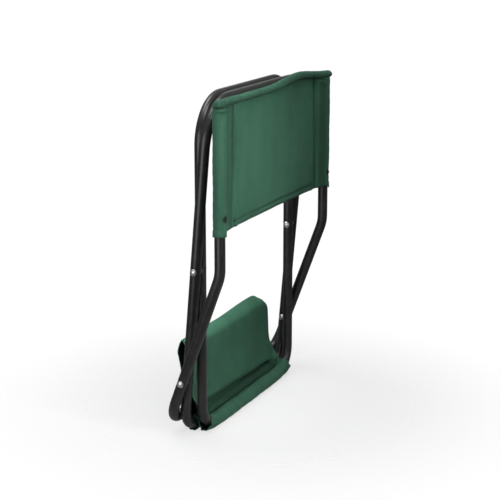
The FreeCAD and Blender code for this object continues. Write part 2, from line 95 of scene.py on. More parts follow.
def spline(points, count):
    """Catmull-Rom curve through the points, resampled to equal steps."""
    p = np.asarray(points, float)
    p = np.vstack([2 * p[0] - p[1], p, 2 * p[-1] - p[-2]])
    fine = []
    for i in range(1, len(p) - 2):
        t = np.linspace(0, 1, 24, endpoint=False)[:, None]
        a, b, c, d = p[i - 1], p[i], p[i + 1], p[i + 2]
        fine.append(0.5 * (2 * b + (c - a) * t + (2 * a - 5 * b + 4 * c - d) * t**2
                           + (3 * b - a - 3 * c + d) * t**3))
    fine = np.vstack(fine + [p[-2][None]])
    run = np.concatenate([[0], np.cumsum(np.linalg.norm(np.diff(fine, axis=0), axis=1))])
    at = np.linspace(0, run[-1], count)
    return np.column_stack([np.interp(at, run, fine[:, k]) for k in range(p.shape[1])])


def new_piece(name, vertices, faces, material, uv=None, shade=True):
    """A mesh object in the scene; uv is where each point lies in the cloth laid flat."""
    mesh = bpy.data.meshes.new(name)
    mesh.from_pydata([tuple(v) for v in vertices], [], faces)
    if uv is not None:
        layer = mesh.uv_layers.new(name="flat")
        corner = np.zeros(len(mesh.loops), np.int32)
        mesh.loops.foreach_get("vertex_index", corner)
        layer.data.foreach_set("uv", np.asarray(uv, np.float32)[corner].ravel())
    mesh.polygons.foreach_set("use_smooth", [shade] * len(mesh.polygons))
    mesh.materials.append(material)
    piece = bpy.data.objects.new(name, mesh)
    bpy.context.scene.collection.objects.link(piece)
    return piece


def grid_faces(rows, columns, closed=False):
    """Quads of a grid of points; closed joins the last column to the first."""
    steps = columns if closed else columns - 1
    return [
        (r * columns + c, r * columns + (c + 1) % columns,
         (r + 1) * columns + (c + 1) % columns, (r + 1) * columns + c)
        for r in range(rows - 1) for c in range(steps)
    ]


def flat_lengths(grid):
    """Distances along the rows and down the columns of a grid: the cloth laid flat."""
    across = np.linalg.norm(np.diff(grid, axis=1), axis=2)
    down = np.linalg.norm(np.diff(grid, axis=0), axis=2)
    u = np.concatenate([np.zeros((grid.shape[0], 1)), np.cumsum(across, axis=1)], axis=1)
    v = np.concatenate([np.zeros((1, grid.shape[1])), np.cumsum(down, axis=0)], axis=0)
    return np.stack([u, v], axis=2)


def apply_modifiers(piece):
    """The piece with its modifiers made part of its mesh."""
    graph = bpy.context.evaluated_depsgraph_get()
    mesh = bpy.data.meshes.new_from_object(piece.evaluated_get(graph))
    piece.modifiers.clear()
    piece.data = mesh
    return piece


def cloth(name, grid, material, thickness=CLOTH, flip=False, inside=None):
    """A sheet of cloth of real thickness through a grid of points, coated inside if need be."""
    rows, columns = grid.shape[:2]
    faces = grid_faces(rows, columns)
    if flip:
        faces = [f[::-1] for f in faces]
    uv = flat_lengths(grid).reshape(-1, 2)
    piece = new_piece(name, grid.reshape(-1, 3), faces, material, uv)
    solid = piece.modifiers.new("Thickness", "SOLIDIFY")
    solid.thickness, solid.offset, solid.use_even_offset = thickness, 0.0, False
    if inside is not None:
        piece.data.materials.append(inside)
        solid.material_offset = 1
    return apply_modifiers(piece)


def stitches(name, runs, material, length=0.0024, gap=0.0011, radius=0.00028):
    """Sewing thread: short raised stitches along each run of (point, outward normal)."""
    vertices, faces = [], []
    sides, rings = 6, ((-0.5, 0.25), (-0.3, 0.9), (0.0, 1.0), (0.3, 0.9), (0.5, 0.25))
    for points, normals in runs:
        points, normals = np.asarray(points, float), np.asarray(normals, float)
        run = np.concatenate([[0], np.cumsum(np.linalg.norm(np.diff(points, axis=0), axis=1))])
        for start in np.arange(gap, run[-1] - length, length + gap):
            middle = start + length / 2
            ends = [np.array([np.interp(s, run, points[:, k]) for k in range(3)])
                    for s in (start, start + length)]
            normal = np.array([np.interp(middle, run, normals[:, k]) for k in range(3)])
            along = ends[1] - ends[0]
            span = np.linalg.norm(along)
            along /= max(span, 1e-9)
            normal -= along * normal.dot(along)
            normal /= np.linalg.norm(normal)
            side = np.cross(along, normal)
            base = len(vertices)
            centre = (ends[0] + ends[1]) / 2
            for place, size in rings:
                lift = (0.25 - place**2) * 4 * radius * 0.9
                for k in range(sides):
                    turn = 2 * math.pi * k / sides
                    spoke = normal * math.cos(turn) + side * math.sin(turn)
                    vertices.append(centre + along * place * span + normal * lift
                                    + spoke * radius * size)
            for r in range(len(rings) - 1):
                for k in range(sides):
                    a, b = base + r * sides + k, base + r * sides + (k + 1) % sides
                    faces.append((a, b, b + sides, a + sides))
            faces.append(tuple(base + k for k in range(sides))[::-1])
            faces.append(tuple(base + (len(rings) - 1) * sides + k for k in range(sides)))
    return new_piece(name, vertices, faces, material)


# ---------------------------------------------------------------- materials

class Nodes:
    """Short way to write a material's node tree."""

    def __init__(self, name):
        self.material = bpy.data.materials.new(name)
        self.material.use_nodes = True
        self.tree = self.material.node_tree
        self.shader = self.tree.nodes["Principled BSDF"]

    def put(self, socket, value):
        if isinstance(value, bpy.types.NodeSocket):
            self.tree.links.new(value, socket)
        else:
            socket.default_value = value

    def add(self, kind, settings=None, **inputs):
        node = self.tree.nodes.new("ShaderNode" + kind)
        for key, value in (settings or {}).items():
            setattr(node, key, value)
        for key, value in inputs.items():
            numbered = key[0] == "i" and key[1:].isdigit()
            self.put(node.inputs[int(key[1:]) if numbered else key], value)
        return node

    def math(self, operation, a, b=0.0):
        return self.add("Math", {"operation": operation}, i0=a, i1=b).outputs[0]

    def times(self, *factors):
        product = factors[0]
        for factor in factors[1:]:
            product = self.math("MULTIPLY", product, factor)
        return product

    def most(self, *values):
        largest = values[0]
        for value in values[1:]:
            largest = self.math("MAXIMUM", largest, value)
        return largest

    def near(self, value, place, width):
        """1 where value is at place, 0 a width away."""
        away = self.math("ABSOLUTE", self.math("SUBTRACT", value, place))
        return self.ramp(away, width * 0.3, width, 1.0, 0.0)

    def noise(self, vector, scale, detail=3.0, roughness=0.55):
        return self.add("TexNoise", Vector=vector, Scale=scale, Detail=detail,
                        Roughness=roughness).outputs["Fac"]

    def ramp(self, value, low, high, out_low=0.0, out_high=1.0):
        node = self.add("MapRange", {"interpolation_type": "SMOOTHSTEP"})
        for key, number in zip((0, 1, 2, 3, 4), (value, low, high, out_low, out_high)):
            self.put(node.inputs[key], number)
        return node.outputs[0]

    def mix(self, factor, a, b, blend="MIX"):
        node = self.add("Mix", {"data_type": "RGBA", "blend_type": blend})
        for key, value in ((0, factor), (6, a), (7, b)):
            self.put(node.inputs[key], value)
        return node.outputs[2]

    def surface(self, **inputs):
        for key, value in inputs.items():
            self.put(self.shader.inputs[key.replace("_", " ")], value)
        return self.material

    def bump(self, height, distance, strength=1.0, normal=None):
        node = self.add("Bump", Height=height, Distance=distance, Strength=strength)
        if normal is not None:
            self.put(node.inputs["Normal"], normal)
        return node.outputs["Normal"]

    def place(self):
        return self.add("TexCoord").outputs["Object"]

    def stretched(self, vector, scale):
        return self.add("Mapping", Vector=vector, Scale=scale).outputs[0]


def spot(n, side, z, centre, inner, outer, amount):
    """A round mark: amount within inner of centre (side, z), nothing past outer."""
    aside, above = n.math("SUBTRACT", side, centre[0]), n.math("SUBTRACT", z, centre[1])
    off = n.math("SQRT", n.math("ADD", n.times(aside, aside), n.times(above, above)))
    return n.ramp(off, inner, outer, amount, 0.0)


def back_shade_and_tacks(n, x, y, z):
    """How much darker the cloth of the back is painted at each place: painted shade and shadow in
    its dimples, channels, flanks and seams, over and under the roll, and a dark spot at each tack.
    """
    side = n.math("ABSOLUTE", x)
    on_back = n.ramp(y, -0.030, -0.025, 1.0, 0.0)
    outside = n.ramp(y, UPRIGHT_Y - 0.004, UPRIGHT_Y - 0.002, 1.0, 0.0)
    before = n.ramp(y, UPRIGHT_Y - 0.001, UPRIGHT_Y + 0.001, 1.0, 0.0)
    # painted shade in the dimple round each screw, and a dark spot at the tack in each lower corner
    # of the panel
    screw = n.times(spot(n, side, z, (UPRIGHT_X, SCREW_Z), 0.0040, 0.0076, 0.72), outside)
    tack = spot(n, side, z, (0.1470, PANEL_LOW + 0.0078), 0.0012, 0.0040, 0.62)
    # painted shade in the channel beside each sleeve and along its inner row of stitching; the
    # channel leans a little towards the middle at its top
    channel = n.ramp(z, PANEL_LOW, PANEL_TOP, 0.1600, 0.1530)
    rows = n.most(n.times(n.near(side, channel, 0.0060), 0.40),
                  n.times(n.near(side, STITCH_X[0], 0.0018), 0.22))
    # painted shade on the flank of each sleeve
    flank = n.times(n.ramp(side, 0.1690, 0.1730), n.ramp(side, 0.1860, 0.1900, 1.0, 0.0), 0.28)
    # painted shade in the groove of the hem's seam along the bottom, and the doubled hem below it
    # painted a little darker
    inside = n.ramp(side, 0.1500, 0.1515, 1.0, 0.0)
    doubled = n.ramp(z, PANEL_LOW + 0.0080, PANEL_LOW + 0.0090, 0.20, 0.0)
    hem = n.times(n.most(n.times(n.near(z, PANEL_LOW + HEM_SEAM, 0.0019), 0.50), doubled), inside)
    # painted shadow along the foot of the roll, painted shade over the roll itself, and painted
    # shade at the step where the sleeve's cloth overlaps the panel's
    offset = n.times(n.math("SUBTRACT", x, LIFT_X), 1 / LIFT_WIDTH)
    lift = n.times(n.math("EXPONENT", n.times(n.times(offset, offset), -1.0)), LIFT)
    from_roll = n.math("SUBTRACT", z, n.math("ADD", lift, ROLL_Z - ROLL_FOOT))
    rolled = n.ramp(from_roll, 0.0, 0.0015)
    foot = n.times(n.near(from_roll, 0.0, 0.0018), 0.55)
    below = n.most(rows, flank, hem)
    roll_shade = n.math("ADD", 0.12, n.times(n.near(side, SEAM_STEP - 0.0008, 0.0024), 0.34))
    tone = n.math("ADD", below, n.times(rolled, n.math("SUBTRACT", roll_shade, below)))
    # the shadowed edge of the flap of the left sleeve
    edge = n.math("SUBTRACT", n.ramp(side, *FLAP_EDGE[0], *FLAP_EDGE[1]), 0.0006)
    flap = n.times(n.ramp(x, -0.166, -0.160, 1.0, 0.0), before, n.near(z, edge, 0.0013), 0.48)
    return n.most(screw, n.times(tack, on_back), n.times(on_back, n.most(tone, foot)), flap)


def seat_shade_and_highlight(n, y, z):
    """Painted shade and painted highlight on the cloth of the seat: how much darker, and how much
    paler, it is at each place.
    """
    low = n.ramp(z, 0.16, 0.18, 1.0, 0.0)
    on_seat = n.times(n.ramp(y, 0.0125, 0.0165), low)
    # painted shade: the seat's cloth a little darker all over, and much darker in the valley
    # between the seat bars, fading along the crease
    dark = n.most(n.times(low, 0.15), n.times(on_seat, n.ramp(z, 0.0240, 0.0330, 0.54, 0.0)))
    # the second value is a painted highlight along the top of the fold, by the crease
    return dark, n.times(on_seat, n.ramp(z, 0.1215, 0.1310, 0.0, 0.62))


def cloth_shade_and_highlight(n, where):
    """How bright the cloth is painted at each place: below 1 under painted shade and at the dark
    tack spots, above 1 under the painted highlight on the seat's fold, 1 elsewhere.
    """
    x, y, z = n.add("SeparateXYZ", Vector=where).outputs
    seat_shade, light = seat_shade_and_highlight(n, y, z)
    dark = n.most(back_shade_and_tacks(n, x, y, z), seat_shade)
    return n.math("ADD", 1.0, n.math("SUBTRACT", light, dark))


def cloth_material(name, colour, pitch=0.0008):
    """Woven polyester: two crossing threads a pitch apart, coated, with a soft sheen."""
    n = Nodes(name)
    uv = n.add("UVMap", {"uv_map": "flat"}).outputs[0]
    parts = n.add("SeparateXYZ", Vector=uv)
    waves = [n.math("SINE", n.times(parts.outputs[k], math.pi / pitch)) for k in (0, 1)]
    over = n.times(n.math("SIGN", n.times(waves[0], waves[1])), 0.22)
    warp = n.times(n.math("ABSOLUTE", waves[0]), n.math("ADD", 0.75, over))
    weft = n.times(n.math("ABSOLUTE", waves[1]), n.math("SUBTRACT", 0.75, over))
    weave = n.most(warp, weft)
    slub_u = n.noise(n.stretched(uv, (1200, 22, 1)), 1.0, 2.0)
    slub_v = n.noise(n.stretched(uv, (22, 1200, 1)), 1.0, 2.0)
    where = n.place()
    broad = n.noise(where, 14.0, 3.0)
    fine = n.noise(where, 90.0, 4.0)
    tone = n.math("ADD", n.ramp(broad, 0.3, 0.7, 0.88, 1.06), n.ramp(fine, 0.3, 0.7, -0.04, 0.04))
    threads = n.math("ADD", n.ramp(slub_u, 0.3, 0.7, -0.05, 0.05),
                     n.ramp(slub_v, 0.3, 0.7, -0.05, 0.05))
    tone = n.math("ADD", tone, n.math("ADD", threads, n.ramp(weave, 0.2, 0.95, -0.10, 0.05)))
    # painted shade and painted highlight scale the cloth's tone
    tone = n.times(tone, cloth_shade_and_highlight(n, where))
    grey = n.add("CombineColor", i0=tone, i1=tone, i2=tone).outputs[0]
    base = n.mix(1.0, (*colour, 1.0), grey, "MULTIPLY")
    normal = n.bump(weave, 0.00022, 0.55)
    normal = n.bump(n.math("ADD", slub_u, slub_v), 0.0003, 0.35, normal)
    normal = n.bump(fine, 0.0016, 0.35, normal)
    return n.surface(Base_Color=base, Roughness=n.ramp(fine, 0.3, 0.7, 0.60, 0.78), Normal=normal,
                     Sheen_Weight=0.03, Sheen_Roughness=0.4, Specular_IOR_Level=0.16)


def thread_material():
    """Sewing thread, darker than the cloth, with its twist."""
    n = Nodes("sewing_thread")
    where = n.place()
    twist = n.add("TexWave", {"wave_type": "BANDS", "bands_direction": "DIAGONAL"}, Vector=where,
                  Scale=900.0, Distortion=1.0).outputs["Fac"]
    base = n.mix(n.noise(where, 60.0), (0.016, 0.048, 0.032, 1), (0.028, 0.078, 0.052, 1))
    return n.surface(Base_Color=base, Roughness=n.ramp(twist, 0.0, 1.0, 0.45, 0.7),
                     Normal=n.bump(twist, 0.0001, 0.6), Sheen_Weight=0.2)


def proofing_shade_material():
    """Dull dark proofing under the seat cloth, mottled and faintly ribbed by the weave; its
    near-black colour is painted shade for the inside of the fold and of the sleeves' ends.
    """
    n = Nodes("dark_proofing_painted_shade")
    uv = n.add("UVMap", {"uv_map": "flat"}).outputs[0]
    where = n.place()
    mottle = n.noise(where, 55.0, 4.0)
    rib = n.noise(n.stretched(uv, (900, 900, 1)), 1.0, 2.0)
    base = n.mix(n.ramp(mottle, 0.3, 0.7), (0.0050, 0.0140, 0.0095, 1),
                 (0.0095, 0.0220, 0.0155, 1))
    return n.surface(Base_Color=base, Roughness=n.ramp(mottle, 0.3, 0.7, 0.62, 0.82),
                     Normal=n.bump(rib, 0.0002, 0.4), Specular_IOR_Level=0.2)


def paint_material():
    """Black enamel on steel tube: faint ripple, dust, fine scuffs and a few worn specks."""
    n = Nodes("black_enamel")
    where = n.place()
    ripple = n.noise(where, 160.0, 2.0)
    dust = n.noise(where, 38.0, 6.0, 0.65)
    scratch = n.noise(n.stretched(where, (900, 900, 30)), 1.0, 3.0)
    specks = n.ramp(n.noise(where, 420.0, 2.0, 0.4), 0.785, 0.82)
    worn = n.times(specks, n.ramp(n.noise(where, 9.0, 2.0), 0.48, 0.62))
    base = n.mix(n.ramp(dust, 0.35, 0.75), (0.0150, 0.0155, 0.0140, 1),
                 (0.026, 0.027, 0.025, 1))
    base = n.mix(worn, base, (0.055, 0.053, 0.050, 1))
    rough = n.math("ADD", n.ramp(dust, 0.3, 0.75, 0.29, 0.36),
                   n.ramp(scratch, 0.55, 0.75, 0.0, 0.04))
    normal = n.bump(ripple, 0.0008, 0.02)
    normal = n.bump(scratch, 0.00015, 0.02, normal)
    return n.surface(Base_Color=base, Roughness=rough, Normal=normal, Specular_IOR_Level=0.5,
                     Coat_Weight=0.30, Coat_Roughness=0.23)


def steel_material(name, light, dark, rough):
    """Plated or blackened steel, brushed along the pivots, with a few stains."""
    n = Nodes(name)
    where = n.place()
    brushed = n.noise(n.stretched(where, (200, 1800, 1800)), 1.0, 3.0)
    stain = n.noise(where, 130.0, 4.0)
    base = n.mix(n.ramp(stain, 0.45, 0.75), (*light, 1), (*dark, 1))
    return n.surface(Base_Color=base, Metallic=1.0, Normal=n.bump(brushed, 0.0001, 0.3),
                     Roughness=n.math("ADD", n.ramp(brushed, 0.3, 0.7, rough, rough + 0.14),
                                      n.ramp(stain, 0.5, 0.8, 0.0, 0.12)))


GREEN = (0.058, 0.170, 0.108)
green = cloth_material("green_oxford", GREEN)
shade_proofing = proofing_shade_material()
thread = thread_material()
enamel = paint_material()
bright = steel_material("zinc_plated_steel", (0.80, 0.80, 0.79), (0.58, 0.57, 0.54), 0.24)
blackened = steel_material("blackened_screw", (0.035, 0.037, 0.036), (0.020, 0.020, 0.020),
                           0.40)

FINISH = {"outer_leg_frame": enamel, "inner_leg_frame": enamel, "back_frame_tube": enamel,
          "back_screws": blackened}
for pivot in ("leg_pivot", "back_pivot"):
    for part in ("bolts", "caps", "washers"):
        FINISH[f"{pivot}_{part}"] = bright
for node, finish in FINISH.items():
    for material_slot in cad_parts[node].material_slots:
        material_slot.material = finish


# ---------------------------------------------------------------- cloth of the back

REAR, TUBE_WRAP, FLANK, PANEL = range(4)
WRAP = 0.0094
HEM_TURN = 0.0075
BACK_ROWS = 84


def back_profile():
    """Where the back cloth runs across the chair: (x, y) of each column, and what part it is.

    From the sewn edge behind the left upright, round the upright, across the panel, round the right
    upright and back to its sewn edge.
    """
    lean = math.asin(WRAP / (UPRIGHT_X - SEAM_X))
    tangent = np.array([-math.sin(lean), math.cos(lean)]) * WRAP
    rear = np.array([UPRIGHT_X + tangent[0], tangent[1]])
    front = rear * np.array([1, -1])
    sewn = np.array([[SEAM_X, 0.0011]])
    turn_in = np.array([[HEM_TURN, 0.0]])
    hem = np.linspace(0, 1, 5)[:, None] * turn_in + (sewn - turn_in)
    flank = np.linspace(0, 1, 13)[1:, None]
    rear_flank = sewn * (1 - flank) + rear * flank
    turns = np.linspace(math.pi / 2 + lean, -math.pi / 2 - lean, 29)[1:-1]
    around = np.column_stack([UPRIGHT_X + WRAP * np.cos(turns), WRAP * np.sin(turns)])
    flank = np.linspace(0, 1, 31)[:, None]
    front_flank = front * (1 - flank) + np.array([[SEAM_X, 0.0]]) * flank
    inner = np.concatenate([np.linspace(SEAM_X, 0.136, 25)[1:], np.linspace(0.136, 0, 36)[1:]])
    panel = np.column_stack([inner, np.zeros(len(inner))])
    half = np.vstack([hem, rear_flank, around, front_flank, panel])
    zone = np.array([REAR] * (len(hem) + len(rear_flank)) + [TUBE_WRAP] * len(around)
                    + [FLANK] * len(front_flank) + [PANEL] * len(inner))
    other = half[-2::-1] * np.array([-1, 1])
    return np.vstack([half, other])[::-1], np.concatenate([zone, zone[-2::-1]])


def in_panel(x):
    """1 across the panel, fading out under the seams of the sleeves."""
    return 1 - smooth(np.abs(x), 0.146, 0.158)


def panel_relief(x, z, t, height):
    """How far the panel is pressed in along one row, t of the way up."""
    # a folded hem along the bottom, standing a little proud, with the groove of its seam above it
    push = 0.0012 * (smooth(height, 0.0070, 0.0082) - smooth(height, 0.0, 0.0030))
    push += 0.0022 * bump(height, 0.0088, 0.0015)
    # soft upright ripples and a lazy bow
    ripple = (0.0012 * np.sin(x * 61 + 0.8 + 1.3 * t) + 0.0007 * np.sin(x * 127 - 2.1 * t + 0.4)
              + 0.0005 * np.sin(x * 38 - z * 33))
    push += ripple * (0.25 + 0.75 * smooth(height, 0.004, 0.05)) * (1 - 0.4 * t)
    push += LIFT_BACK * bump(x, LIFT_X, LIFT_WIDTH) * t**2
    push += 0.0014 * np.cos(math.pi * np.clip(x / 0.32, -0.5, 0.5))
    return push * in_panel(x)


def seam_relief(x, z, from_top):
    """How far the front of the cloth is pressed in beside each sleeve along one row."""
    side_x = np.abs(x)
    # a channel with its two rows of stitching
    push = CHANNEL_DEPTH * bump(side_x, CHANNEL_X, CHANNEL_WIDTH)
    for place in STITCH_X:
        push += 0.0012 * bump(side_x, place, 0.0013)
    # short pulls away from the seams
    pull = np.sin(z * 410 + 2.2 * np.sign(x)) * 0.55 + np.sin(z * 233 + x * 40)
    push += 0.00045 * pull * (bump(side_x, 0.140, 0.014) + 0.8 * bump(side_x, 0.174, 0.010))
    # the corner of each sleeve is folded under the roll
    corner = from_top - 0.45 * (side_x - 0.165)
    push -= 0.0022 * bump(corner, 0.0035, 0.0028) * bump(side_x, 0.178, 0.012)
    push += 0.0014 * bump(corner, -0.0015, 0.0022) * bump(side_x, 0.174, 0.014)
    return push


def flap_share(x, z):
    """1 on the spare cloth that hangs from the left sleeve as a small flap below the roll."""
    side_x = np.abs(x)
    above = z - np.interp(side_x, *FLAP_EDGE)
    return (smooth(above, -0.0008, 0.0006) * (1 - smooth(above, 0.0020, 0.0055))
            * smooth(side_x, 0.159, 0.165) * (x < 0))


def sleeve_swell(z, turn, side, height, from_top):
    """How far each sleeve stands out from its upright along one row, turn radians round it."""
    # a doubled lower end, slack folds, a drawn-in top and the dimple of each screw
    swell = 0.0007 * (1 - smooth(height, 0.0085, 0.0100)) - 0.0008 * bump(height, 0.0106, 0.0014)
    swell += 0.00020 * np.sin(z * 90 + turn * 2 + side) * smooth(height, 0.01, 0.03)
    swell += 0.00012 * np.sin(z * 390 + turn * 3)
    swell -= 0.0008 * bump(from_top, 0.0, 0.0045)
    swell -= 0.0012 * bump(z, SCREW_Z, 0.006) * bump(turn, -math.pi / 2, 0.65)
    return swell


def back_cloth():
    """The cloth of the back: panel, both sleeves and bottom hem, as one sewn sheet."""
    profile, zone = back_profile()
    x, y = profile[:, 0], profile[:, 1]
    side, side_x = np.sign(x), np.abs(x)
    front = ~((zone == REAR) | ((zone == TUBE_WRAP) & (y > 0)))
    on_tube = (zone == TUBE_WRAP) | ((zone == REAR) & (side_x > 0.1925))
    # the lower edge sags towards the sleeves and rises where it joins the left one
    sag = np.where(x < 0, SAG_LEFT, SAG_RIGHT) * smooth(side_x, 0.135, 0.160)
    sag -= np.where(x < 0, RISE_LEFT, 0.0) * np.clip((side_x - 0.162) / 0.033, 0, 1)
    low = np.where(on_tube, SLEEVE_LOW, PANEL_LOW - sag)
    high = PANEL_TOP + LIFT * bump(x, LIFT_X, LIFT_WIDTH) * in_panel(x)
    # where each column is, seen from the middle of its upright
    radial = np.column_stack([x - side * UPRIGHT_X, y])
    outward = radial / np.maximum(np.linalg.norm(radial, axis=1), 1e-6)[:, None]
    turn = np.arctan2(radial[:, 1], radial[:, 0] * side)
    upright = np.column_stack([side * UPRIGHT_X, np.full(len(x), UPRIGHT_Y)])
    least = TUBE + CLEAR + CLOTH / 2
    grid = np.zeros((BACK_ROWS, len(x), 3))
    for row, t in enumerate(np.linspace(0, 1, BACK_ROWS) ** 0.92):
        z = low + (high - low) * t
        height, from_top = z - low, high - z
        flap = flap_share(x, z) * front
        push = panel_relief(x, z, t, height) + seam_relief(x, z, from_top) * front - 0.0022 * flap
        # a tack in each lower corner, and a ridge along the inner side of the channel
        push += 0.0010 * bump(side_x, 0.1480, 0.0040) * bump(height, 0.008, 0.004)
        push -= RIDGE_RISE * bump(side_x, RIDGE_X, RIDGE_WIDTH)
        across = UPRIGHT_Y + y + push * (1 - smooth(side_x, 0.188, 0.195))
        grid[row] = np.column_stack([x, across, z])
        swell = sleeve_swell(z, turn, side, height, from_top) + 0.0016 * flap
        grid[row, :, :2] += outward * (swell * smooth(side_x, 0.180, 0.190))[:, None]
        # no nearer to the upright than its tube allows
        gap = np.linalg.norm(grid[row, :, :2] - upright, axis=1)
        short = np.clip(least - gap, 0, None) * (side_x > 0.186)
        grid[row, :, :2] += outward * short[:, None]
    return cloth("back_cloth", grid, green, flip=True), grid, zone


def roll_ring(x, turns):
    """One ring of the roll, at x: a soft oval with a few creases."""
    lift = (LIFT * bump(x, LIFT_X, LIFT_WIDTH) - 0.0030 * smooth(x, 0.13, 0.21)
            - 0.0008 * (1 - smooth(x, -0.05, 0.03)))
    back = LIFT_BACK * bump(x, LIFT_X, LIFT_WIDTH)
    over = float(smooth(abs(x), 0.182, 0.192))
    end = float(smooth(abs(x), ROLL_HALF - 0.003, ROLL_HALF))
    depth = (0.0056 + 0.0012 * over) * (1 - 0.25 * end)
    tall = 0.0053 + 0.0010 * bump(x, 0.075, 0.09) + 0.0003 * smooth(x, 0.15, 0.2)
    tall *= 1 - 0.08 * end
    crease = (1 + 0.022 * np.sin(3 * turns + x * 85) + 0.018 * np.sin(5 * turns - x * 190)
              + 0.016 * math.sin(x * 330) * np.cos(turns) ** 2)
    # the sleeve's cloth overlaps the panel's, which shows as a step across the roll
    crease += 0.08 * smooth(abs(x), SEAM_STEP, SEAM_STEP + 0.001)
    crease -= 0.20 * bump(abs(x), SEAM_STEP - 0.001, 0.0018)
    # flat underside where the roll is sewn down
    flat = 1 - 0.25 * bump(turns, 1.5 * math.pi, 0.5)
    across = UPRIGHT_Y + back - 0.0016 - 0.0010 * over + np.cos(turns) * depth * crease
    above = ROLL_Z + lift + np.sin(turns) * tall * crease * flat
    return np.column_stack([np.full(len(turns), x), across, above])


def back_roll():
    """The rolled top hem: a soft tube of cloth over both uprights, sewn along its underside."""
    stations, sides = 170, 28
    xs = np.linspace(-ROLL_HALF, ROLL_HALF, stations)
    turns = np.linspace(0, 2 * math.pi, sides, endpoint=False)
    grid = np.array([roll_ring(x, turns) for x in xs])
    faces = grid_faces(stations, sides, closed=True)
    around = turns * ROLL_GIRTH
    vertices = list(grid.reshape(-1, 3))
    uv = [(a, x) for x in xs for a in around]
    # the ends of the roll are tucked in and closed
    for row, sign in ((0, -1), (stations - 1, 1)):
        ring = [row * sides + k for k in range(sides)]
        middle = grid[row].mean(axis=0)
        for shrink, inset in ((0.80, 0.0012), (0.50, 0.0017), (0.20, 0.0012)):
            start = len(vertices)
            for k in range(sides):
                point = middle + (grid[row, k] - middle) * shrink
                point[0] += sign * inset
                vertices.append(point)
                uv.append((around[k], xs[row] - inset + sign * (1 - shrink) * 0.005))
            for k in range(sides):
                face = (ring[k], ring[(k + 1) % sides], start + (k + 1) % sides, start + k)
                faces.append(face[::-1] if sign < 0 else face)
            ring = [start + k for k in range(sides)]
        faces.append(tuple(ring)[::-1] if sign < 0 else tuple(ring))
    return new_piece("back_top_roll", vertices, [f[::-1] for f in faces], green, uv)


back, back_grid, back_zone = back_cloth()
roll = back_roll()


def back_stitching():
    """Rows of thread beside each sleeve, along the bottom hem and under the roll."""
    xs, centre = back_grid[0, :, 0], back_grid.shape[1] // 2
    proud = np.array([0, -CLOTH / 2 - CLEAR, 0])
    lines = []
    front = np.flatnonzero(back_zone >= FLANK)
    for side in (-1, 1):
        for place in STITCH_X:
            column = front[np.argmin(np.abs(xs[front] - side * place))]
            lines.append(back_grid[3:-2, column] + proud)
    inside = np.flatnonzero((back_zone == PANEL) & (np.abs(xs) < 0.1465))
    middle_z = back_grid[:, centre, 2]
    for z in (PANEL_LOW + HEM_SEAM, middle_z[-1] - 0.0042):
        lines.append(back_grid[np.argmin(np.abs(middle_z - z)), inside] + proud)
    runs = [(points, np.tile([0.0, -1.0, 0.0], (len(points), 1))) for points in lines]
    return stitches("back_stitching", runs, thread)


back_thread = back_stitching()

for piece in (back, roll, back_thread):
    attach(piece, "back")
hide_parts("back_panel", "back_sleeve_left", "back_sleeve_right")
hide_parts("back_hem")


# ---------------------------------------------------------------- cloth of the seat

# The folded seat seen from its side: (y, z) in mm of each half from its bar up to the crease, along
# the middle of the chair and along the hems.
FRONT_MIDDLE = [
    (9.5, 17.6), (13.2, 13.4), (16.0, 9.0), (17.4, 9.4), (19.2, 15.0), (22.8, 18.9), (27.4, 20.6),
    (31.4, 20.9), (33.4, 23.6), (30.8, 28.0), (27.0, 31.6), (26.0, 36.6), (27.4, 44), (30.2, 57),
    (32.8, 76), (34.2, 100), (34.6, 114), (35.4, 122.5), (38.0, 129.6), (42.2, 135.4),
    (47.72, 139.55)]
FRONT_EDGE = [
    (8.5, 18.5), (11.2, 22.0), (13.2, 25.0), (15.2, 28.0), (17.2, 31.0), (19.6, 34.4),
    (22.2, 38.2), (24.6, 41.8), (27.0, 45.4), (29.6, 49.6), (31.8, 54.0), (33.6, 60), (35.0, 70),
    (36.0, 86), (36.8, 101), (37.6, 114), (38.8, 123), (41.0, 130), (44.4, 135.4), (47.72, 139.4)]
REAR_MIDDLE = [
    (33.0, 16.4), (35.4, 21.0), (36.0, 27.0), (37.4, 36), (41.0, 54), (45.0, 76), (48.8, 97),
    (51.4, 114), (52.4, 125), (51.6, 132.6), (50.0, 136.8), (47.72, 139.55)]
REAR_EDGE = [
    (33.0, 16.4), (35.4, 21.0), (36.0, 27.0), (37.8, 36), (41.4, 54), (45.2, 74), (48.8, 94),
    (52.4, 111), (54.2, 119.5), (52.6, 127), (50.2, 134.2), (47.72, 139.4)]
# how much lower the foot of the front half is for each metre to the right
BASE_TILT = 0.0375


